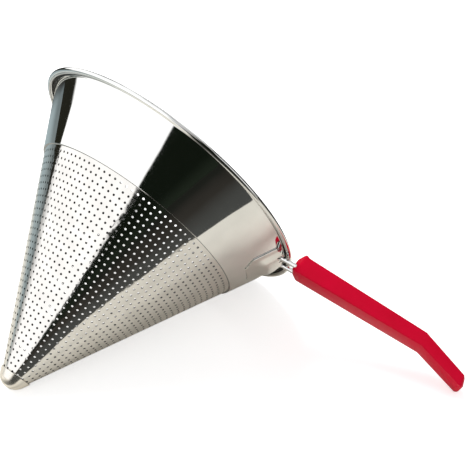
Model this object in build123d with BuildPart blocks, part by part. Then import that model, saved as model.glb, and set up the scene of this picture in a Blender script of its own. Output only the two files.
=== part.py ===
from build123d import *
import math
import os

# Driving sizes, in millimetres. A level is a distance along the cup's axis, from the point
# where the cup's outer slope would meet that axis; the mouth is at the highest level.

# Cup
mouth_diameter = 190.2
rim_height = 180.6
band_height = 37.0
sheet = 0.8
seam_gap = 0.1
seam_lap = 5.0

# Rolled rim and the wire ring in it
bead_diameter = 3.2
bead_stand = 2.4
neck_height = 1.8
ring_gap = 0.1

# Nose cap
nose_dome_radius = 9.6
nose_skirt = 4.4
nose_end_margin = 1.5

# Perforation: the solid has every third row, and every fourth hole of it
hole_diameter = 1.5
hole_row_pitch = 4.1
hole_pitch = 4.0
rows_apart = 3
holes_apart = 4
first_row_margin = 2.6
last_row_margin = 1.5
hole_line_turn = 82.6  # degrees from the handle to the line where the holes of all rows keep in step

# Handle wire: two legs under the bracket, two arms and the turn that joins them in the sleeve
wire_diameter = 3.0
wire_spacing = 12.0
wire_fit = 0.1
bead_clearance = 1.9
wire_bend_radius = 4.0
wire_turn_radius = 5.0
wire_leg_length = 9.0
wire_end_cover = 8.0

# Handle bracket
bracket_sheet = 1.0
bracket_half_width = 15.5
bracket_foot_half_width = 13.5
bracket_reach = 19.0
bracket_shoulder = 12.0
bracket_edge_margin = 3.0
bracket_side_margin = 1.5
bracket_corner_radius = 3.0

# Handle sleeve: a straight length, a bend, and a tail that turns down towards the nose's side
sleeve_rim_gap = 4.1
sleeve_straight_length = 91.5
sleeve_tail_length = 31.0
sleeve_width = 18.0
sleeve_root_thickness = 12.2
sleeve_bend_thickness = 8.8
sleeve_end_thickness = 7.4
sleeve_root_cover = 1.6
sleeve_bend_rise = 2.3
sleeve_tail_drop = 8.8
sleeve_edge_radius = 2.5
bend_skew = 1.4
end_skew = 1.6
end_bevel = 1.5
lip_height = 1.1
lip_setback = 3.5
lip_length = 3.0

# Place of each row's first hole, as a share of the pitch from the line that the rows share, and
# the length of the pins that cut the holes, as a share of the depth that they have to reach
first_hole_share = 0.5
hole_pin_share = 3

# Shapes of the sleeve's two bevelled ends, as shares of the full section
root_face_share = 0.6
end_face_share = 0.7

os.makedirs("parts", exist_ok=True)

# Cup section: its outer slope, levels and radii
mouth_radius = mouth_diameter / 2
half_angle = math.atan2(mouth_radius, rim_height)
slope = math.tan(half_angle)
across = 1 / math.cos(half_angle)
band_level = rim_height - band_height
bead_radius = bead_diameter / 2
bead_level = rim_height - bead_radius
bead_ring_radius = bead_level * slope + bead_stand + bead_radius
nose_centre_level = nose_dome_radius / math.sin(half_angle)

# Handle wire: levels and distances from the axis
wire_radius = wire_diameter / 2
wire_side = wire_spacing / 2
leg_gap = wire_radius + wire_fit
wire_level = rim_height - bead_diameter - bead_clearance - wire_radius

# Sleeve: its underside and its length, worked out from the wire and the rim
sleeve_start = bead_ring_radius + bead_radius + sleeve_rim_gap
sleeve_bend = sleeve_start + sleeve_straight_length
sleeve_end = sleeve_bend + sleeve_tail_length
root_floor = wire_level - wire_radius - sleeve_root_cover
bend_floor = root_floor + sleeve_bend_rise
end_floor = bend_floor - sleeve_tail_drop
bend_middle = bend_floor + sleeve_bend_thickness / 2

# How the strainer lies: on its nose, on the rim's lowest point and on the sleeve's end
rest_reach = math.hypot(bead_ring_radius, bead_level - nose_centre_level)
rest_drop = math.asin((nose_dome_radius - bead_radius) / rest_reach)
lean = math.atan2(bead_ring_radius, bead_level - nose_centre_level) - rest_drop
apex_height = nose_dome_radius - nose_centre_level * math.sin(lean)
corner_side = sleeve_width / 2 - sleeve_edge_radius
corner_level = end_floor + sleeve_edge_radius
corner_lift = apex_height + corner_level * math.sin(lean)
corner_reach = math.hypot(sleeve_end, corner_side)
corner_round = sleeve_edge_radius * math.sqrt(1 - (corner_lift / corner_reach) ** 2)
corner_height = (corner_lift - corner_round) / math.cos(lean)
roll = math.atan2(corner_side, sleeve_end) + math.acos(corner_height / corner_reach)

# Directions of the cup's axis, of the handle and of the handle's upper side
axis_dir = Vector(0, math.cos(lean), math.sin(lean))
down_dir = Vector(0, math.sin(lean), -math.cos(lean))
handle_dir = down_dir * math.cos(roll) + Vector(1, 0, 0) * math.sin(roll)
side_dir = Vector(1, 0, 0) * math.cos(roll) - down_dir * math.sin(roll)
apex = Vector(0, -nose_centre_level * math.cos(lean), apex_height)
cup_axis = Axis(apex, axis_dir)

# Sketch planes: the section holds the axis and the handle, the front looks along the handle
section = Plane(origin=apex, x_dir=handle_dir, z_dir=side_dir)
front = Plane(origin=apex, x_dir=side_dir, z_dir=handle_dir * -1)


def outer(level):
    """Radius of the cup's outer slope at a level."""
    return level * slope


def wall(low, high, depth, thickness):
    """Corners of a sloping wall's section; its outer face lies depth below the cup's outer slope."""
    out = depth * across
    inn = (depth + thickness) * across
    return [
        (outer(low) - inn, low),
        (outer(low) - out, low),
        (outer(high) - out, high),
        (outer(high) - inn, high),
    ]


def place(out, level, side):
    """A point given by its distance along the handle, its level and its distance to the side."""
    return apex + handle_dir * out + axis_dir * level + side_dir * side


# Collar: the plain band, its neck and the edge rolled outwards into a bead
curl_inside = bead_radius - sheet
neck_level = rim_height - neck_height
neck_foot = wall(neck_level - sheet, neck_level, 0, sheet)
neck_top = wall(neck_level, neck_level + sheet, 0, sheet)
with BuildPart() as collar:
    with BuildSketch(section):
        with BuildLine():
            Polyline(*wall(band_level, neck_level, 0, sheet), close=True)
        make_face()
        with BuildLine():
            Polyline(
                *neck_foot[:-1],
                (bead_ring_radius, rim_height - sheet),
                (bead_ring_radius, rim_height),
                neck_top[-1],
                close=True,
            )
        make_face()
        with Locations((bead_ring_radius, bead_level)):
            Circle(bead_radius)
            Circle(curl_inside, mode=Mode.SUBTRACT)
    revolve(axis=cup_axis)

# Wire ring inside the rolled rim
with BuildPart() as rim_wire:
    with BuildSketch(section):
        with Locations((bead_ring_radius, bead_level)):
            Circle(curl_inside - ring_gap)
    revolve(axis=cup_axis)

# Places of the holes, row by row from the band down to the nose cap; the cone's sheet starts at
# the line where they keep in step
line_turn = math.radians(hole_line_turn)
line_dir = handle_dir * math.cos(line_turn) + side_dir * math.sin(line_turn)
line_side = side_dir * math.cos(line_turn) - handle_dir * math.sin(line_turn)
line_section = Plane(origin=apex, x_dir=line_dir, z_dir=line_side)
dome_touch = nose_centre_level * math.cos(half_angle) ** 2
nose_seam_level = dome_touch + nose_skirt
row_step = hole_row_pitch * rows_apart * math.cos(half_angle)
first_row = band_level - first_row_margin
row_count = int((first_row - nose_seam_level - last_row_margin) / row_step) + 1
hole_places = []
for row in range(row_count):
    level = first_row - row * row_step
    radius = outer(level)
    hole_count = round(2 * math.pi * radius / (hole_pitch * holes_apart))
    for hole in range(hole_count):
        turn = 2 * math.pi * (hole + first_hole_share) / hole_count
        out_dir = line_dir * math.cos(turn) + line_side * math.sin(turn)
        normal = out_dir * math.cos(half_angle) - axis_dir * math.sin(half_angle)
        hole_places.append(Plane(origin=apex + axis_dir * level + out_dir * radius, z_dir=normal))

# Perforated cone, lapped under the collar and under the nose cap
inset = sheet + seam_gap
with BuildPart() as perforated_cone:
    with BuildSketch(line_section):
        with BuildLine():
            Polyline(*wall(dome_touch + nose_end_margin, band_level + seam_lap, inset, sheet), close=True)
        make_face()
    revolve(axis=cup_axis)
    with Locations(*hole_places):
        Cylinder(hole_diameter / 2, (inset + sheet) * hole_pin_share, mode=Mode.SUBTRACT)

# Nose cap: a domed cup lapped over the cone's lower end
dome_inside = nose_dome_radius - sheet
skirt_in, skirt_out, seam_out, seam_in = wall(dome_touch, nose_seam_level, 0, sheet)
dome_turn = 90 - math.degrees(half_angle)
with BuildPart() as nose_cap:
    with BuildSketch(section):
        with BuildLine():
            outside = CenterArc((0, nose_centre_level), nose_dome_radius, -90, dome_turn)
            inside = CenterArc((0, nose_centre_level), dome_inside, -90, dome_turn)
            Polyline(outside @ 1, seam_out, seam_in, inside @ 1)
            Line(inside @ 0, outside @ 0)
        make_face()
    revolve(axis=cup_axis)

# Route of the handle wire: up the wall, out under the bead, along the sleeve, round and back
leg_level = wire_level - wire_leg_length
leg_out = outer(leg_level) + leg_gap * across
bend_out = outer(wire_level) + leg_gap * across
turn_out = sleeve_bend - wire_end_cover
wire_points = [
    place(leg_out, leg_level, wire_side),
    place(bend_out, wire_level, wire_side),
    place(turn_out, bend_middle, wire_side),
    place(turn_out, bend_middle, -wire_side),
    place(bend_out, wire_level, -wire_side),
    place(leg_out, leg_level, -wire_side),
]
wire_radii = [wire_bend_radius, wire_turn_radius, wire_turn_radius, wire_bend_radius]
leg_end = Plane(origin=wire_points[0], z_dir=wire_points[1] - wire_points[0])

# Handle wire
with BuildPart() as handle_wire:
    with BuildLine():
        FilletPolyline(*wire_points, radius=wire_radii)
    with BuildSketch(leg_end):
        Circle(wire_radius)
    sweep()

# Room for the handle wire, cut from the bracket and from the sleeve
with BuildPart() as wire_room:
    with BuildLine():
        FilletPolyline(*wire_points, radius=wire_radii)
    with BuildSketch(leg_end):
        Circle(leg_gap)
    sweep()

# Handle bracket: a saddle plate on the band, with a tunnel over each leg of the wire
plate_top = wire_level - bracket_edge_margin
plate_shoulder = plate_top - bracket_shoulder * math.cos(half_angle)
plate_low = plate_top - bracket_reach * math.cos(half_angle)
tunnel_radius = leg_gap + bracket_sheet
plate_neck = wire_side + tunnel_radius + bracket_side_margin
tunnel_length = (plate_top - leg_level) * across
with BuildPart() as handle_bracket:
    with BuildSketch(section):
        with BuildLine():
            Polyline(*wall(plate_low, plate_top, -seam_gap - bracket_sheet, bracket_sheet), close=True)
        make_face()
    revolve(axis=cup_axis)
    with BuildSketch(front) as plate_outline:
        with BuildLine():
            Polyline(
                (-bracket_foot_half_width, plate_low),
                (bracket_foot_half_width, plate_low),
                (bracket_half_width, plate_shoulder),
                (plate_neck, plate_top),
                (-plate_neck, plate_top),
                (-bracket_half_width, plate_shoulder),
                close=True,
            )
        make_face()
        fillet(plate_outline.vertices().group_by(Axis.Y)[0], bracket_corner_radius)
    extrude(amount=-mouth_diameter, mode=Mode.INTERSECT)
    for leg in (wire_points[0], wire_points[-1]):
        with Locations(leg):
            Sphere(tunnel_radius)
        with Locations(Plane(origin=leg, z_dir=wire_points[1] - wire_points[0])):
            Cylinder(tunnel_radius, tunnel_length, align=(Align.CENTER, Align.CENTER, Align.MIN))
    with BuildSketch(section):
        with BuildLine():
            Polyline(
                (0, dome_touch),
                (outer(dome_touch) + seam_gap * across, dome_touch),
                (outer(rim_height) + seam_gap * across, rim_height),
                (0, rim_height),
                close=True,
            )
        make_face()
    revolve(axis=cup_axis, mode=Mode.SUBTRACT)
    add(wire_room.part, mode=Mode.SUBTRACT)


def station(out, low, high, skew, width_share=1.0):
    """A rounded cross-section of the sleeve; its top leans back by skew along the handle."""
    base, top = place(out, low, 0), place(out - skew, high, 0)
    normal = side_dir.cross(top - base)
    height = (top - base).length
    with BuildSketch(Plane(origin=(base + top) / 2, x_dir=side_dir, z_dir=normal)) as made:
        RectangleRounded(sleeve_width * width_share, height, sleeve_edge_radius * width_share)
    return made.sketch


# Handle sleeve: rounded sections from the bevelled root over the lip and the bend to the end
root_top = root_floor + sleeve_root_thickness
root_inset = sleeve_root_thickness * (1 - root_face_share) / 2
end_top = end_floor + sleeve_end_thickness
end_inset = sleeve_end_thickness * (1 - end_face_share) / 2
lip_out = sleeve_start + lip_setback
lip_end = lip_out + lip_length
sections = [
    station(sleeve_start, root_floor + end_bevel, root_top - lip_setback, 0, root_face_share),
    station(lip_out, root_floor, root_top + lip_height, 0),
    station(lip_end, root_floor, root_top, 0),
    station(sleeve_bend, bend_floor, bend_floor + sleeve_bend_thickness, bend_skew),
    station(sleeve_end, end_floor, end_top, end_skew),
    station(sleeve_end + end_bevel, end_floor + end_inset, end_top - end_inset, end_skew, end_face_share),
]
with BuildPart() as handle_sleeve:
    loft(sections, ruled=True)
    add(wire_room.part, mode=Mode.SUBTRACT)

collar.part.label = "collar"
rim_wire.part.label = "rim_wire"
perforated_cone.part.label = "perforated_cone"
nose_cap.part.label = "nose_cap"
handle_bracket.part.label = "handle_bracket"
handle_wire.part.label = "handle_wire"
handle_sleeve.part.label = "handle_sleeve"

export_step(collar.part, "parts/collar.step")
export_step(rim_wire.part, "parts/rim_wire.step")
export_step(perforated_cone.part, "parts/perforated_cone.step")
export_step(nose_cap.part, "parts/nose_cap.step")
export_step(handle_bracket.part, "parts/handle_bracket.step")
export_step(handle_wire.part, "parts/handle_wire.step")
export_step(handle_sleeve.part, "parts/handle_sleeve.step")

print("holes", len(hole_places))
print("lean", math.degrees(lean), "roll", math.degrees(roll))
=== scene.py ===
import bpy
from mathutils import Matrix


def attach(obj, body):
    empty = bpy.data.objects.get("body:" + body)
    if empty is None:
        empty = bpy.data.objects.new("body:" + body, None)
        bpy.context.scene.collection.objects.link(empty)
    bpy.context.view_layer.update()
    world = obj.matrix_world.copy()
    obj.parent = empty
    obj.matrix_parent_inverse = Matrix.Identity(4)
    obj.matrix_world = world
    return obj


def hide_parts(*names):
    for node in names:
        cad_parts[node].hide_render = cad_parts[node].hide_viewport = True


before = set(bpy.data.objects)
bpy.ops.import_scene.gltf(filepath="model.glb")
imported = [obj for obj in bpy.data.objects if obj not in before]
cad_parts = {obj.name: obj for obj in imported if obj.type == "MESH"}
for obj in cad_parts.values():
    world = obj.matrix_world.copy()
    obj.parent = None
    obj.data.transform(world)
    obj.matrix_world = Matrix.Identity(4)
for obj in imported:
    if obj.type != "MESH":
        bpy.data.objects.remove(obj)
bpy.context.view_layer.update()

import math

import bpy
from mathutils import Matrix, Vector

MM = 0.001

# Sizes of the strainer in millimetres; levels run along the cup's axis from the point of its outer slope
MOUTH_RADIUS = 95.1
RIM_LEVEL = 180.6
BAND_LEVEL = 143.6
SHEET = 0.8
SEAM_GAP = 0.1
SEAM_LAP = 5.0
BEAD_RADIUS = 1.6
BEAD_STAND = 2.4
BEAD_CLEARANCE = 1.9
RIM_TILT = math.radians(-0.75)
RIM_RISE = 0.6
RIM_TURN_LEVEL = 177.3
NOSE_RADIUS = 9.6
NOSE_SKIRT = 4.4
HOLE_RADIUS = 0.75
HOLE_SIDES = 10
HOLE_ROW_PITCH = 4.1
HOLE_PITCH = 4.0
HOLE_PIN_LENGTH = 4.0
FIRST_ROW = 141.0
HOLE_LINE_TURN = 82.6
WIRE_RADIUS = 1.5
SLEEVE_WIDTH = 18.0
SLEEVE_RIM_GAP = 4.1
SLEEVE_EDGE = 2.3
PLATE_LOW = 154.19
PLATE_SHOULDER = 160.38
PLATE_SIDE_END = 171.0
PLATE_TOP = 175.2
PLATE_LOW_HALF = 13.5
PLATE_SHOULDER_HALF = 15.5
PLATE_SIDE_END_HALF = 10.1
PLATE_CUT_HALF = 17.0
PLATE_THICKNESS = 0.7
PLATE_EDGE = 0.15
PLATE_BULGE = 3.3
PLATE_BULGE_LEVEL = 164.5
PLATE_BULGE_SIDES = (-7.2, 7.8)
PLATE_BULGE_EASE = 7.0
PLATE_NOTCH_LEVEL = 171.9
PLATE_NOTCH_SIDES = (4.1, 7.9)

# Points round each turned piece, and the plate's rows from its low edge to its top
BAND_POINTS = 256
CONE_POINTS = 144
CAP_POINTS = 96
PLATE_POINTS = 512
PLATE_ROWS = 24

HALF_ANGLE = math.atan2(MOUTH_RADIUS, RIM_LEVEL)
SLOPE = math.tan(HALF_ANGLE)
ACROSS = 1 / math.cos(HALF_ANGLE)
WALL = SHEET * ACROSS
NOSE_LEVEL = NOSE_RADIUS / math.sin(HALF_ANGLE)
TOUCH_LEVEL = NOSE_LEVEL * math.cos(HALF_ANGLE) ** 2
NOSE_SEAM = TOUCH_LEVEL + NOSE_SKIRT
BEAD_LEVEL = RIM_LEVEL - BEAD_RADIUS
BEAD_RING = BEAD_LEVEL * SLOPE + BEAD_STAND + BEAD_RADIUS

# How the strainer lies: the lean of its axis and the turn of its handle round it
LEAN = math.radians(29.352649)
ROLL = math.radians(68.068442)
AXIS_DIR = Vector((0, math.cos(LEAN), math.sin(LEAN)))
DOWN_DIR = Vector((0, math.sin(LEAN), -math.cos(LEAN)))
SIDE_WAY = Vector((1, 0, 0))
HANDLE_DIR = DOWN_DIR * math.cos(ROLL) + SIDE_WAY * math.sin(ROLL)
LEFT_DIR = AXIS_DIR.cross(HANDLE_DIR)
APEX = Vector((0, -NOSE_LEVEL * math.cos(LEAN), NOSE_RADIUS - NOSE_LEVEL * math.sin(LEAN))) * MM


def place_of(x_way, y_way, z_way, spot):
    """The matrix that puts a thing at a spot, turned to three directions."""
    rows = [(x_way[row], y_way[row], z_way[row], spot[row]) for row in range(3)]
    return Matrix((*rows, (0, 0, 0, 1)))


CUP_PLACE = place_of(HANDLE_DIR, LEFT_DIR, AXIS_DIR, APEX)


# Modelling steps

def outer(level):
    """Radius of the cup's outer slope at a level."""
    return level * SLOPE


def deselect_all():
    bpy.ops.object.select_all(action="DESELECT")


def hold(piece):
    """Makes a piece the only one selected."""
    deselect_all()
    piece.select_set(True)
    bpy.context.view_layer.objects.active = piece


def to_edit():
    bpy.ops.object.mode_set(mode="EDIT")


def to_object():
    bpy.ops.object.mode_set(mode="OBJECT")


def select_points(piece, wanted):
    """Selects the points for which wanted(place) is true, and stays in edit mode."""
    bpy.ops.mesh.select_all(action="DESELECT")
    to_object()
    for vertex in piece.data.vertices:
        vertex.select = wanted(vertex.co)
    to_edit()


def turn_faces_out():
    bpy.ops.mesh.select_all(action="SELECT")
    bpy.ops.mesh.normals_make_consistent(inside=False)


def start_ring(name, radius, level, points):
    """A ring of points round the upright cup's axis, left selected in edit mode."""
    deselect_all()
    bpy.ops.mesh.primitive_circle_add(vertices=points, radius=radius * MM, location=(0, 0, level * MM))
    ring = bpy.context.object
    ring.name = name
    bpy.ops.object.transform_apply(location=True, rotation=True, scale=True)
    to_edit()
    bpy.ops.mesh.select_all(action="SELECT")
    return ring


def draw_rings(name, profile, points):
    """A turned piece: a ring drawn out through each radius and level of its profile, then closed."""
    piece = start_ring(name, *profile[0], points)
    for (radius, level), (next_radius, next_level) in zip(profile, profile[1:]):
        step = (0, 0, (next_level - level) * MM)
        bpy.ops.mesh.extrude_region_move(TRANSFORM_OT_translate={"value": step})
        grow = next_radius / radius
        bpy.ops.transform.resize(value=(grow, grow, 1), center_override=(0, 0, 0))
    bpy.ops.mesh.select_all(action="SELECT")
    bpy.ops.mesh.remove_doubles(threshold=1e-6)
    bpy.ops.mesh.normals_make_consistent(inside=False)
    return piece


def round_edges(piece, width, segments, angle):
    """A bevel on the edges sharper than an angle, not yet applied."""
    bevel = piece.modifiers.new("rounded_edges", "BEVEL")
    bevel.width = width * MM
    bevel.segments = segments
    bevel.limit_method = "ANGLE"
    bevel.angle_limit = math.radians(angle)


def lay_down(piece):
    """Puts an upright piece in its place on the table."""
    to_object()
    hold(piece)
    piece.matrix_world = CUP_PLACE
    bpy.ops.object.transform_apply(location=True, rotation=True, scale=True)


def finish_piece(piece, material, node, angle):
    hold(piece)
    bpy.ops.object.shade_smooth_by_angle(angle=math.radians(angle))
    piece.data.materials.clear()
    piece.data.materials.append(material)
    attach(piece, "root")
    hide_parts(node)


def arc(centre, radius, start, end, steps):
    """Points of an arc in the profile; angles in degrees from the outward direction."""
    turns = [math.radians(start + (end - start) * step / steps) for step in range(steps + 1)]
    return [(centre[0] + radius * math.cos(turn), centre[1] + radius * math.sin(turn)) for turn in turns]


# Nodes of the materials and the studio

def add_node(tree, kind, **values):
    """A node with its inputs or settings given by name."""
    node = tree.nodes.new(kind)
    for key, value in values.items():
        if key in node.inputs:
            node.inputs[key].default_value = value
        else:
            setattr(node, key, value)
    return node


def feed(tree, socket, value):
    """Gives a socket another node's output, a number, a direction or a colour."""
    if isinstance(value, bpy.types.NodeSocket):
        tree.links.new(value, socket)
    elif socket.type == "RGBA":
        socket.default_value = (*value, 1)
    else:
        socket.default_value = value


def number(tree, operation, *values):
    """A sum, product or the like of numbers and other nodes' outputs."""
    node = add_node(tree, "ShaderNodeMath", operation=operation)
    for socket, value in zip(node.inputs, values):
        feed(tree, socket, value)
    return node.outputs["Value"]


def vector(tree, operation, *values, result="Vector"):
    node = add_node(tree, "ShaderNodeVectorMath", operation=operation)
    for socket, value in zip(node.inputs, values):
        feed(tree, socket, value)
    return node.outputs[result]


def mapped(tree, source, start, end, low=0, high=1, kind="LINEAR"):
    """A number that goes from low to high while the source goes from start to end."""
    node = add_node(tree, "ShaderNodeMapRange", interpolation_type=kind)
    for name, value in (("From Min", start), ("From Max", end), ("To Min", low), ("To Max", high)):
        node.inputs[name].default_value = value
    tree.links.new(source, node.inputs["Value"])
    return node.outputs["Result"]


def eased(tree, source, start, end, low=0, high=1):
    return mapped(tree, source, start, end, low, high, kind="SMOOTHSTEP")


def blend(tree, factor, first, second):
    """A colour between two colours, by a factor."""
    node = add_node(tree, "ShaderNodeMix", data_type="RGBA")
    ends = [socket for socket in node.inputs if socket.type == "RGBA"]
    feed(tree, ends[0], first)
    feed(tree, ends[1], second)
    feed(tree, node.inputs["Factor"], factor)
    return [socket for socket in node.outputs if socket.type == "RGBA"][0]


def shader_of(tree):
    return tree.nodes["Principled BSDF"]


# Materials

# Painted shade: near-black, dull steel in grooves and on punched walls, standing in for the shade that
# falls there
PAINTED_SHADE_STEEL = (0.02, 0.019, 0.016)
HIDDEN_ROUGHNESS = 0.45


def new_material(name, colour, roughness, metallic=0.0):
    material = bpy.data.materials.new(name)
    material.use_nodes = True
    shader = shader_of(material.node_tree)
    shader.inputs["Base Color"].default_value = (*colour, 1)
    shader.inputs["Roughness"].default_value = roughness
    shader.inputs["Metallic"].default_value = metallic
    return material


def object_noise(tree, scale, detail, stretch=(1, 1, 1)):
    place = add_node(tree, "ShaderNodeTexCoord")
    mapping = add_node(tree, "ShaderNodeMapping")
    mapping.inputs["Scale"].default_value = stretch
    noise = add_node(tree, "ShaderNodeTexNoise", Scale=scale, Detail=detail, Roughness=0.5)
    tree.links.new(place.outputs["Object"], mapping.inputs["Vector"])
    tree.links.new(mapping.outputs["Vector"], noise.inputs["Vector"])
    return noise.outputs["Fac"]


def noise_range(tree, noise, low, high):
    """Stretches the middle of a noise to a range of values."""
    return mapped(tree, noise, 0.3, 0.7, low, high)


def tint(tree, noise, dark, light):
    colour = blend(tree, noise_range(tree, noise, 0, 1), dark, light)
    tree.links.new(colour, shader_of(tree).inputs["Base Color"])


def raise_surface(tree, noise, strength, distance):
    bump = add_node(tree, "ShaderNodeBump", Strength=strength, Distance=distance)
    tree.links.new(noise, bump.inputs["Height"])
    tree.links.new(bump.outputs["Normal"], shader_of(tree).inputs["Normal"])


def polished_steel(name, dark, light, roughness, waves):
    """Sheet steel with a mirror polish: slow waves in the sheet, faint wear and polishing marks."""
    steel = new_material(name, light, roughness[1], metallic=1.0)
    tree = steel.node_tree
    tint(tree, object_noise(tree, 90.0, 4.0), dark, light)
    marks = object_noise(tree, 420.0, 2.0, stretch=(1, 1, 6))
    tree.links.new(noise_range(tree, marks, *roughness), shader_of(tree).inputs["Roughness"])
    scale, strength, height = waves
    raise_surface(tree, object_noise(tree, scale, 1.5), strength, height)
    return steel


def darken(tree, shade_mask):
    """Paints shade: turns the steel dark and dull where the mask is 1."""
    inputs = shader_of(tree).inputs
    clean = inputs["Base Color"].links[0].from_socket
    polish = inputs["Roughness"].links[0].from_socket
    tree.links.new(blend(tree, shade_mask, clean, PAINTED_SHADE_STEEL), inputs["Base Color"])
    dull = number(tree, "MULTIPLY", shade_mask, HIDDEN_ROUGHNESS)
    tree.links.new(number(tree, "MAXIMUM", polish, dull), inputs["Roughness"])


def darken_band(tree):
    """Painted shade in the groove behind the rim's bead, where the bead's shadow gap falls, and on the
    band's cut lower edge, which is partly dull unpolished cut steel and partly a painted shade line.
    """
    spot = add_node(tree, "ShaderNodeTexCoord")
    from_apex = vector(tree, "SUBTRACT", spot.outputs["Object"], APEX)
    level = vector(tree, "DOT_PRODUCT", from_apex, AXIS_DIR, result="Value")
    sideways = vector(tree, "CROSS_PRODUCT", from_apex, AXIS_DIR)
    reach = vector(tree, "LENGTH", sideways, result="Value")
    stand_out = number(tree, "SUBTRACT", reach, number(tree, "MULTIPLY", level, SLOPE))
    facing = vector(tree, "DOT_PRODUCT", spot.outputs["Normal"], AXIS_DIR, result="Value")
    past_wall = mapped(tree, stand_out, 0.02 * MM, 0.15 * MM)
    before_bead = mapped(tree, stand_out, 2.4 * MM, 2.7 * MM, 1, 0)
    underside = mapped(tree, facing, -0.1, 0.2, 1, 0)
    at_rim = mapped(tree, level, 170 * MM, 171 * MM)
    in_groove = number(tree, "MULTIPLY", past_wall, before_bead)
    # Painted shade under the rim's bead
    groove = number(tree, "MULTIPLY", in_groove, number(tree, "MULTIPLY", underside, at_rim))
    # The cut lower edge: partly dull cut steel, partly a painted shade line
    cut_edge_and_shade = mapped(tree, level, (BAND_LEVEL + 0.03) * MM, (BAND_LEVEL + 0.10) * MM, 0.7, 0)
    darken(tree, number(tree, "MAXIMUM", groove, cut_edge_and_shade))


def darken_hole_walls(tree):
    """Painted shade on the punched walls of the holes, which face along the sheet: coloured near black
    as the shade inside the holes, and made dull.
    """
    spot = add_node(tree, "ShaderNodeTexCoord")
    from_apex = vector(tree, "SUBTRACT", spot.outputs["Object"], APEX)
    sideways = vector(tree, "CROSS_PRODUCT", from_apex, AXIS_DIR)
    outward = vector(tree, "NORMALIZE", vector(tree, "CROSS_PRODUCT", sideways, -AXIS_DIR))
    from_sheet = vector(tree, "SUBTRACT", outward, AXIS_DIR * SLOPE)
    facing = vector(tree, "DOT_PRODUCT", from_sheet, spot.outputs["Normal"], result="Value")
    squared = number(tree, "MULTIPLY", facing, facing)
    # Painted shade inside the holes
    darken(tree, mapped(tree, squared, 0.25, 0.5, 0.9, 0))


def moulded_plastic():
    """The sleeve's red: slightly clouded, with a fine grain and little shine."""
    plastic = new_material("sleeve_plastic", (0.72, 0.0, 0.028), 0.38)
    tree = plastic.node_tree
    shader_of(tree).inputs["Specular IOR Level"].default_value = 0.12
    cloud = object_noise(tree, 60.0, 3.0)
    tint(tree, cloud, (0.68, 0.0, 0.025), (0.76, 0.0, 0.033))
    tree.links.new(noise_range(tree, cloud, 0.32, 0.46), shader_of(tree).inputs["Roughness"])
    raise_surface(tree, object_noise(tree, 1400.0, 2.0), 0.12, 0.0002)
    return plastic


# Each steel's darker and lighter colour, its roughness, and the scale, strength and height of its waves
band_steel = polished_steel(
    "band_steel", (0.79, 0.79, 0.775), (0.84, 0.84, 0.825), (0.03, 0.06), (28.0, 0.3, 0.0006))
cone_steel = polished_steel(
    "cone_steel", (0.72, 0.705, 0.68), (0.79, 0.775, 0.75), (0.05, 0.09), (230.0, 0.22, 0.0002))
cap_steel = polished_steel(
    "cap_steel", (0.80, 0.76, 0.70), (0.88, 0.85, 0.80), (0.14, 0.24), (150.0, 0.2, 0.0002))
bracket_steel = polished_steel(
    "bracket_steel", (0.70, 0.69, 0.66), (0.78, 0.77, 0.74), (0.08, 0.16), (120.0, 0.2, 0.0003))
wire_steel = polished_steel(
    "wire_steel", (0.72, 0.72, 0.71), (0.82, 0.82, 0.81), (0.06, 0.14), (260.0, 0.2, 0.0002))
ring_steel = polished_steel(
    "ring_steel", (0.55, 0.55, 0.54), (0.64, 0.64, 0.63), (0.3, 0.45), (260.0, 0.2, 0.0002))
darken_band(band_steel.node_tree)
darken_hole_walls(cone_steel.node_tree)
red_plastic = moulded_plastic()


# Band with its rolled rim

def slope_points(levels, depth=0.0):
    """Points of a profile that follow the cup's slope, at a depth inside it."""
    return [(outer(level) - depth, level) for level in levels]


def make_band():
    bead = (BEAD_RING, BEAD_LEVEL)
    profile = [
        (outer(BAND_LEVEL) - WALL - 0.1, BAND_LEVEL),
        (outer(BAND_LEVEL) - 0.12, BAND_LEVEL),
        (outer(BAND_LEVEL + 0.03) - 0.04, BAND_LEVEL + 0.03),
        *slope_points((BAND_LEVEL + 0.10, BAND_LEVEL + 0.25, BAND_LEVEL + 0.8, BAND_LEVEL + 3)),
        *slope_points((155, 165, 173, 176.5, 178.5, 178.8)),
        (outer(178.95) + 0.06, 178.95),
        (outer(179.15) + 0.22, 179.15),
        (outer(179.3) + 0.55, 179.35),
        (BEAD_RING - 2.0, 179.75),
        *arc(bead, BEAD_RADIUS, 150, 450, 24),
        (outer(RIM_LEVEL) + 1.2, RIM_LEVEL),
        (outer(RIM_LEVEL) + 0.2, RIM_LEVEL - 0.15),
        (outer(RIM_LEVEL) - 0.55, RIM_LEVEL - 0.6),
        (outer(179.2) - WALL + 0.05, 179.2),
        *slope_points((178.2, 176, 165, 155, BAND_LEVEL + 1), WALL),
        (outer(BAND_LEVEL) - WALL - 0.1, BAND_LEVEL),
    ]
    band = draw_rings("band_and_rim", profile, BAND_POINTS)
    tilt_rim(band)
    lay_down(band)
    finish_piece(band, band_steel, "collar", 40)


def tilt_rim(band):
    """The rim sits a little lower at the handle than opposite it, moved along the cup's slope."""
    select_points(band, lambda place: place.z > RIM_TURN_LEVEL * MM)
    bpy.ops.transform.rotate(value=RIM_TILT, orient_axis="Y", center_override=(0, 0, BEAD_LEVEL * MM))
    shift = -BEAD_RING * abs(RIM_TILT) * SLOPE
    bpy.ops.transform.translate(value=(shift * MM, 0, RIM_RISE * MM))
    growth = 1 + RIM_RISE * SLOPE / MOUTH_RADIUS
    bpy.ops.transform.resize(value=(growth, growth, 1), center_override=(0, 0, 0))


# Perforated cone: the plain sheet, then its holes row by row

ROW_STEP = HOLE_ROW_PITCH * math.cos(HALF_ANGLE)
ROW_COUNT = int((FIRST_ROW - NOSE_SEAM - 0.5) / ROW_STEP) + 1
HOLE_ROWS = [FIRST_ROW - row * ROW_STEP for row in range(ROW_COUNT)]
CONE_DEPTH = (SHEET + SEAM_GAP) * ACROSS


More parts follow.
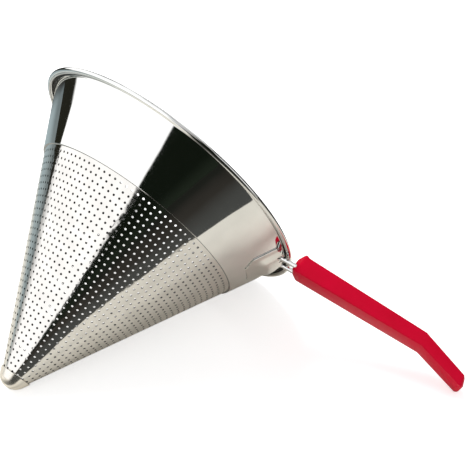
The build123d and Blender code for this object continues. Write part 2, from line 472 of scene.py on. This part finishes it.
def plain_sheet():
    """The conical sheet, with rings of edges between every third pair of hole rows."""
    low = TOUCH_LEVEL + 1.5
    between = [level - ROW_STEP / 2 for level in reversed(HOLE_ROWS[::3])]
    levels = [low]
    levels += [level for level in between if level > low + 2]
    levels += [FIRST_ROW + ROW_STEP / 2, BAND_LEVEL + SEAM_LAP]
    profile = slope_points(levels, CONE_DEPTH)
    profile += slope_points(reversed(levels), CONE_DEPTH + WALL)
    profile.append(profile[0])
    sheet = draw_rings("perforated_sheet", profile, CONE_POINTS)
    to_object()
    return sheet


def start_pins():
    """An empty mesh in edit mode, for the pins that punch the holes."""
    deselect_all()
    bpy.ops.mesh.primitive_cylinder_add(
        vertices=HOLE_SIDES, radius=HOLE_RADIUS * MM, depth=HOLE_PIN_LENGTH * MM, location=(0, 0, 0))
    pins = bpy.context.object
    pins.name = "hole_pins"
    to_edit()
    bpy.ops.mesh.select_all(action="SELECT")
    bpy.ops.mesh.delete(type="VERT")
    return pins


def holes_round(row, level):
    """Holes in a row; every third row has a multiple of four."""
    length = 2 * math.pi * outer(level)
    if row % 3 == 0:
        return 4 * round(length / (4 * HOLE_PITCH))
    return round(length / HOLE_PITCH)


def make_pins():
    turn = math.radians(-HOLE_LINE_TURN)
    pins = start_pins()
    for row, level in enumerate(HOLE_ROWS):
        radius = outer(level) - CONE_DEPTH - WALL / 2
        bpy.ops.mesh.primitive_cylinder_add(
            vertices=HOLE_SIDES,
            radius=HOLE_RADIUS * MM,
            depth=HOLE_PIN_LENGTH * MM,
            location=(radius * math.cos(turn) * MM, radius * math.sin(turn) * MM, level * MM),
            rotation=(0, math.radians(90) + HALF_ANGLE, turn),
        )
        count = holes_round(row, level)
        bpy.ops.mesh.spin(
            steps=count - 1,
            dupli=True,
            angle=2 * math.pi * (count - 1) / count,
            center=(0, 0, 0),
            axis=(0, 0, 1),
        )
        bpy.ops.mesh.select_all(action="DESELECT")
    to_object()
    return pins


def make_cone():
    cone = plain_sheet()
    pins = make_pins()
    hold(cone)
    punch = cone.modifiers.new("punch", "BOOLEAN")
    punch.operation = "DIFFERENCE"
    punch.solver = "MANIFOLD"
    punch.object = pins
    bpy.ops.object.modifier_apply(modifier="punch")
    bpy.data.objects.remove(pins)
    lay_down(cone)
    finish_piece(cone, cone_steel, "perforated_cone", 40)


# Nose cap: dome and skirt

def make_cap():
    centre = (0, NOSE_LEVEL)
    dome_edge = -math.degrees(HALF_ANGLE)
    profile = arc(centre, NOSE_RADIUS, -88, dome_edge, 14)
    profile += [
        (outer(NOSE_SEAM - 0.5), NOSE_SEAM - 0.5),
        (outer(NOSE_SEAM) - 0.05, NOSE_SEAM - 0.12),
        (outer(NOSE_SEAM) - 0.3, NOSE_SEAM),
        (outer(NOSE_SEAM) - WALL, NOSE_SEAM),
    ]
    profile += arc(centre, NOSE_RADIUS - SHEET, dome_edge, -88, 8)
    cap = draw_rings("nose_dome", profile, CAP_POINTS)
    bpy.ops.mesh.select_all(action="DESELECT")
    bpy.ops.mesh.select_non_manifold()
    bpy.ops.mesh.merge(type="COLLAPSE")
    turn_faces_out()
    lay_down(cap)
    finish_piece(cap, cap_steel, "nose_cap", 50)


# Handle sleeve: sections drawn out along the handle, upright like the cup

SLEEVE_START = BEAD_RING + BEAD_RADIUS + SLEEVE_RIM_GAP
WIRE_LEVEL = RIM_LEVEL - 2 * BEAD_RADIUS - BEAD_CLEARANCE - WIRE_RADIUS
ROOT_FLOOR = WIRE_LEVEL - WIRE_RADIUS - 1.6
BEND_FLOOR = ROOT_FLOOR + 2.3
END_FLOOR = BEND_FLOOR - 8.8
SLEEVE_SECTIONS = [
    # distance out, low level, high level, share of the width, lean of the top
    (SLEEVE_START, ROOT_FLOOR + 1.5, ROOT_FLOOR + 8.7, 0.6, 0),
    (SLEEVE_START + 3.5, ROOT_FLOOR, ROOT_FLOOR + 13.3, 1, 0),
    (SLEEVE_START + 6.5, ROOT_FLOOR, ROOT_FLOOR + 12.2, 1, 0),
    (SLEEVE_START + 91.5, BEND_FLOOR, BEND_FLOOR + 8.8, 1, 1.4),
    (SLEEVE_START + 122.5, END_FLOOR, END_FLOOR + 7.4, 1, 1.6),
    (SLEEVE_START + 124.0, END_FLOOR + 1.1, END_FLOOR + 6.3, 0.7, 1.6),
]


def middle_of(section):
    out, low, high, _, _ = section
    return Vector((out, 0, (low + high) / 2)) * MM


def start_sleeve():
    """The sleeve's first section, a flat face across the handle, selected in edit mode."""
    _, low, high, share, _ = SLEEVE_SECTIONS[0]
    middle = middle_of(SLEEVE_SECTIONS[0])
    deselect_all()
    bpy.ops.mesh.primitive_plane_add(size=1, location=middle, rotation=(0, math.radians(-90), 0))
    sleeve = bpy.context.object
    sleeve.name = "red_sleeve"
    bpy.ops.object.transform_apply(location=True, rotation=True, scale=True)
    to_edit()
    bpy.ops.mesh.select_all(action="SELECT")
    size = (1, SLEEVE_WIDTH * share * MM, (high - low) * MM)
    bpy.ops.transform.resize(value=size, center_override=middle)
    return sleeve


def make_sleeve():
    sleeve = start_sleeve()
    for now, then in zip(SLEEVE_SECTIONS, SLEEVE_SECTIONS[1:]):
        step = middle_of(then) - middle_of(now)
        bpy.ops.mesh.extrude_region_move(TRANSFORM_OT_translate={"value": step})
        taller = (then[2] - then[1]) / (now[2] - now[1])
        bpy.ops.transform.resize(value=(1, then[3] / now[3], taller), center_override=middle_of(then))
    turn_faces_out()
    for section in SLEEVE_SECTIONS[3:]:
        middle = middle_of(section)
        select_points(sleeve, lambda place: abs(place.x - middle.x) < 1e-5 and place.z > middle.z)
        bpy.ops.transform.translate(value=(-section[4] * MM, 0, 0))
    to_object()
    round_edges(sleeve, SLEEVE_EDGE, 4, 28)
    hold(sleeve)
    bpy.ops.object.modifier_apply(modifier="rounded_edges")
    lay_down(sleeve)
    finish_piece(sleeve, red_plastic, "handle_sleeve", 35)


# Saddle plate: a strip of the cup's slope, trimmed at its sides and pressed out over the wire's legs

def trim_plate(side, rise, widening):
    """Cuts the plate along a line through its shoulder."""
    bpy.ops.mesh.select_all(action="SELECT")
    bpy.ops.mesh.bisect(
        plane_co=(0, side * PLATE_SHOULDER_HALF * MM, PLATE_SHOULDER * MM),
        plane_no=(0, side * rise, -widening),
        clear_outer=True,
    )


def plain_plate():
    stand = (SEAM_GAP + PLATE_THICKNESS / 2) * ACROSS
    height = PLATE_TOP - PLATE_LOW
    levels = [PLATE_LOW + height * row / PLATE_ROWS for row in range(PLATE_ROWS + 1)]
    plate = draw_rings("saddle_plate", slope_points(levels, -stand), PLATE_POINTS)
    select_points(plate, lambda place: place.x < 0 or abs(place.y) > PLATE_CUT_HALF * MM)
    bpy.ops.mesh.delete(type="VERT")
    low_rise = PLATE_SHOULDER - PLATE_LOW
    low_widening = PLATE_SHOULDER_HALF - PLATE_LOW_HALF
    trim_plate(-1, low_rise, low_widening)
    trim_plate(-1, 1, 0)
    trim_plate(1, low_rise, low_widening)
    trim_plate(1, PLATE_SIDE_END - PLATE_SHOULDER, PLATE_SIDE_END_HALF - PLATE_SHOULDER_HALF)
    return plate


def over_legs(place):
    one_side, other_side = PLATE_BULGE_SIDES
    return place.z > PLATE_BULGE_LEVEL * MM and one_side * MM < place.y < other_side * MM


def at_wires(place):
    near, far = PLATE_NOTCH_SIDES
    return place.z > PLATE_NOTCH_LEVEL * MM and near * MM < abs(place.y) < far * MM


def make_plate():
    plate = plain_plate()
    select_points(plate, over_legs)
    bpy.ops.transform.translate(
        value=(PLATE_BULGE * ACROSS * MM, 0, 0),
        use_proportional_edit=True,
        proportional_edit_falloff="SMOOTH",
        proportional_size=PLATE_BULGE_EASE * MM,
    )
    select_points(plate, at_wires)
    bpy.ops.mesh.delete(type="VERT")
    to_object()
    wall = plate.modifiers.new("wall", "SOLIDIFY")
    wall.thickness = PLATE_THICKNESS * MM
    wall.offset = 0
    round_edges(plate, PLATE_EDGE, 2, 50)
    bpy.ops.object.modifier_apply(modifier="wall")
    bpy.ops.object.modifier_apply(modifier="rounded_edges")
    to_edit()
    turn_faces_out()
    lay_down(plate)
    finish_piece(plate, bracket_steel, "handle_bracket", 40)


make_band()
make_cone()
make_cap()
make_sleeve()
make_plate()

# Finishes of the solids that stay as they are
for node, material in (("handle_wire", wire_steel), ("rim_wire", ring_steel)):
    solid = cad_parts[node]
    solid.data.materials.clear()
    solid.data.materials.append(material)

# Camera
CAMERA_RIGHT = (0.727413, 0.684924, -0.041606)
CAMERA_UP = (-0.361244, 0.43378, 0.825416)
CAMERA_BACK = (0.583381, -0.585398, 0.562952)
CAMERA_SPOT = (0.343551, -0.14819, 0.307362)
camera_data = bpy.data.cameras.new("camera")
camera_data.lens = 56.07
camera_data.sensor_width = 36
camera_data.shift_y = 0.1
camera_data.clip_start = 0.01
camera_data.clip_end = 50
camera = bpy.data.objects.new("camera", camera_data)
bpy.context.scene.collection.objects.link(camera)
camera.matrix_world = place_of(CAMERA_RIGHT, CAMERA_UP, CAMERA_BACK, CAMERA_SPOT)
bpy.context.scene.camera = camera


# Floor: white to the eye; to the metal pale by the strainer, with a painted glow under the nose, grey
# far to the left and dark in front

TABLE_WHITE = (0.88, 0.88, 0.88)
TABLE_GLOW = 0.62
PALE_TABLE = (0.93, 0.90, 0.81)
GREY_TABLE = (0.36, 0.44, 0.46)
PAST_THE_MOUTH = (0.05, 0.05, 0.045)
FAR_DARK = (0.030, 0.032, 0.026)
DARK = (0.046, 0.042, 0.036)
NEAR_DARK = (0.085, 0.088, 0.083)
# Colour of the painted glow that the metal shows on the table under the nose
WARM_GLOW = (1.0, 0.95, 0.84)


def dark_front(tree, x, y):
    """How far a spot of the table lies ahead of the dark part's edge, and a mask of the dark part."""
    edge = eased(tree, x, 0.10, 0.215, -0.035, 0.016)
    past_bend = number(tree, "MAXIMUM", number(tree, "SUBTRACT", x, 0.215), 0)
    rise = number(tree, "MULTIPLY", past_bend, 0.75)
    edge = number(tree, "ADD", edge, number(tree, "MINIMUM", rise, 0.06))
    edge = number(tree, "ADD", edge, eased(tree, x, 0.03, 0.10, 0.017, 0.0))
    ahead = number(tree, "SUBTRACT", y, edge)
    slanted = number(tree, "ADD", x, number(tree, "MULTIPLY", y, 0.32))
    right_half = eased(tree, slanted, -0.06, 0.012)
    in_front = number(tree, "MULTIPLY", eased(tree, ahead, -0.003, 0.003, 1, 0), right_half)
    return ahead, in_front


def table_in_metal(tree, x, y, ahead, in_front):
    """The table's colour as the metal shows it."""
    pale = blend(tree, eased(tree, x, -0.48, -0.10, 1, 0), PALE_TABLE, GREY_TABLE)
    pale = blend(tree, eased(tree, y, 0.24, 0.34), pale, PAST_THE_MOUTH)
    dark = blend(tree, eased(tree, ahead, -1.6, -0.30), FAR_DARK, DARK)
    dark = blend(tree, eased(tree, ahead, -0.30, -0.02), dark, NEAR_DARK)
    return blend(tree, in_front, pale, dark)


def painted_table_glow(tree, x, y, in_front):
    """Painted glow on the pale part of the table, shown only to the metal: emission that lifts the
    table's shade, strongest under the nose.
    """
    light = eased(tree, y, 0.14, 0.02, 0.05, 0.25)
    from_nose = number(tree, "DIVIDE", x, number(tree, "ADD", y, 0.012))
    light = number(tree, "MULTIPLY", light, eased(tree, from_nose, 2.4, 1.2, 0.15, 1))
    light = number(tree, "MULTIPLY", light, eased(tree, from_nose, 0.35, 0.85, 0.15, 1))
    return number(tree, "MULTIPLY", light, number(tree, "SUBTRACT", 1, in_front))


def paint_table(tree):
    place = add_node(tree, "ShaderNodeTexCoord")
    split = add_node(tree, "ShaderNodeSeparateXYZ")
    tree.links.new(place.outputs["Object"], split.inputs["Vector"])
    x = split.outputs["X"]
    y = split.outputs["Y"]
    ray = add_node(tree, "ShaderNodeLightPath").outputs
    by_metal = number(tree, "MAXIMUM", ray["Is Glossy Ray"], ray["Is Transmission Ray"])
    ahead, in_front = dark_front(tree, x, y)
    shown = table_in_metal(tree, x, y, ahead, in_front)
    # Painted glow for the metal, lifting the table's shade under the strainer
    light = number(tree, "MULTIPLY", painted_table_glow(tree, x, y, in_front), by_metal)
    glow = number(tree, "MULTIPLY", ray["Is Camera Ray"], TABLE_GLOW)
    paper = shader_of(tree).inputs
    paper["Specular IOR Level"].default_value = 0.0
    tree.links.new(blend(tree, by_metal, TABLE_WHITE, shown), paper["Base Color"])
    tree.links.new(number(tree, "ADD", glow, light), paper["Emission Strength"])
    tree.links.new(blend(tree, by_metal, (1.0, 1.0, 1.0), WARM_GLOW), paper["Emission Color"])


deselect_all()
bpy.ops.mesh.primitive_plane_add(size=30, location=(0, 0, 0))
floor = bpy.context.object
floor.name = "floor"
table_white = new_material("table_white", TABLE_WHITE, 0.9)
paint_table(table_white.node_tree)
floor.data.materials.append(table_white)


# Studio round the table: white to the eye; the metal shows pale and dark walls and a ceiling

# Bearings in degrees, each with the wall's grey
WALL_STOPS = [
    (-180, 0.95), (-162, 1.0), (-73, 1.0), (-71.2, 0.93), (-70.7, 0.0), (4, 0.0), (8, 0.75), (34, 0.9),
    (40, 0.03), (96, 0.03), (102, 0.5), (128, 0.62), (132, 0.05), (146, 0.05), (150, 0.9), (180, 0.95),
]
WALL_FOOT_DARK = (0.011, 0.015, 0.010)
WALL_DARK = (0.0042, 0.0062, 0.0038)
GREY_FOOT = (0.42, 0.42, 0.41)
DARK_FOOT = (0.014, 0.014, 0.010)
CEILING_WHITE = (0.9, 0.91, 0.92)
CEILING_DARK = (0.02, 0.02, 0.018)


def turn_share(degrees):
    """A bearing in degrees as a share of the turn, with straight ahead in the middle."""
    return (degrees + 180) / 360


def wall_ramp(tree, bearing):
    """Greys round the studio, by bearing."""
    node = add_node(tree, "ShaderNodeValToRGB")
    ramp = node.color_ramp
    ramp.interpolation = "LINEAR"
    while len(ramp.elements) > 1:
        ramp.elements.remove(ramp.elements[-1])
    for index, (degrees, grey) in enumerate(WALL_STOPS):
        spot = turn_share(degrees)
        element = ramp.elements[0] if index == 0 else ramp.elements.new(spot)
        element.position = spot
        element.color = (grey, grey, grey, 1)
    tree.links.new(bearing, node.inputs["Fac"])
    return node.outputs["Color"]


def bearing_step(tree, bearing, start, end):
    return eased(tree, bearing, turn_share(start), turn_share(end))


def studio_walls(tree, bearing, height):
    dark = blend(tree, eased(tree, height, 0.0, 8.0), WALL_FOOT_DARK, WALL_DARK)
    after_start = bearing_step(tree, bearing, -71.0, -70.6)
    before_end = bearing_step(tree, bearing, 7, 5)
    in_dark = number(tree, "MULTIPLY", after_start, before_end)
    walls = blend(tree, in_dark, wall_ramp(tree, bearing), dark)
    grey_foot = number(tree, "SUBTRACT", 1, eased(tree, height, 0.0, 7.0))
    grey_foot = number(tree, "MULTIPLY", grey_foot, bearing_step(tree, bearing, -120, -140))
    walls = blend(tree, grey_foot, walls, GREY_FOOT)
    dark_foot = number(tree, "SUBTRACT", 1, eased(tree, height, 9.0, 11.0))
    left = bearing_step(tree, bearing, -163.0, -163.6)
    left = number(tree, "MAXIMUM", left, bearing_step(tree, bearing, 148, 152))
    dark_foot = number(tree, "MULTIPLY", dark_foot, left)
    return blend(tree, dark_foot, walls, DARK_FOOT)


def ceiling_patch(tree, bearing, height, left, right, low, high):
    """A soft-edged field of the studio between two bearings and two heights, in degrees."""
    after_left = bearing_step(tree, bearing, left - 4, left + 4)
    before_right = bearing_step(tree, bearing, right + 4, right - 4)
    above_low = eased(tree, height, low - 2, low + 2)
    below_high = eased(tree, height, high + 2, high - 2)
    across = number(tree, "MULTIPLY", after_left, before_right)
    along = number(tree, "MULTIPLY", above_low, below_high)
    return number(tree, "MULTIPLY", across, along)


def studio_ceiling(tree, bearing, height):
    dark = ceiling_patch(tree, bearing, height, -22, 38, 34, 74)
    dark = number(tree, "MAXIMUM", dark, ceiling_patch(tree, bearing, height, 34, 126, 66, 77))
    dark = number(tree, "MAXIMUM", dark, ceiling_patch(tree, bearing, height, 98, 127, 34, 50))
    return blend(tree, dark, CEILING_WHITE, CEILING_DARK)


def build_studio():
    world = bpy.data.worlds.new("studio")
    bpy.context.scene.world = world
    world.use_nodes = True
    tree = world.node_tree
    ways = add_node(tree, "ShaderNodeSeparateXYZ")
    tree.links.new(add_node(tree, "ShaderNodeTexCoord").outputs["Generated"], ways.inputs["Vector"])
    turn = number(tree, "ARCTAN2", ways.outputs["Y"], ways.outputs["X"])
    bearing = number(tree, "ADD", number(tree, "DIVIDE", turn, 2 * math.pi), 0.5)
    height = number(tree, "DIVIDE", number(tree, "ARCSINE", ways.outputs["Z"]), math.radians(1))
    walls = studio_walls(tree, bearing, height)
    ceiling = studio_ceiling(tree, bearing, height)
    in_metal = blend(tree, eased(tree, height, 35.0, 41.0), walls, ceiling)
    ray = add_node(tree, "ShaderNodeLightPath").outputs
    by_metal = number(tree, "MAXIMUM", ray["Is Glossy Ray"], ray["Is Transmission Ray"])
    plain = number(tree, "ADD", number(tree, "MULTIPLY", ray["Is Camera Ray"], 0.5), 0.5)
    strength = number(tree, "ADD", plain, number(tree, "MULTIPLY", by_metal, 0.85))
    background = tree.nodes["Background"].inputs
    tree.links.new(blend(tree, by_metal, (1.0, 1.0, 1.0), in_metal), background["Color"])
    tree.links.new(strength, background["Strength"])


def soft_lamp(name, location, target, size, power):
    """A round lamp, kept out of the reflections."""
    data = bpy.data.lights.new(name, "AREA")
    data.shape = "DISK"
    data.size = size
    data.energy = power
    lamp = bpy.data.objects.new(name, data)
    bpy.context.scene.collection.objects.link(lamp)
    lamp.location = location
    lamp.rotation_euler = (Vector(target) - Vector(location)).to_track_quat("-Z", "Y").to_euler()
    lamp.visible_glossy = False
    lamp.visible_camera = False


build_studio()
soft_lamp("key_lamp", (-0.55, 0.25, 1.15), (0.08, 0.08, 0.02), 0.7, 9.0)
soft_lamp("low_lamp", (0.25, -0.8, 0.1), (0.17, 0.1, 0.04), 0.5, 1.3)
bpy.context.scene.view_settings.view_transform = "Standard"
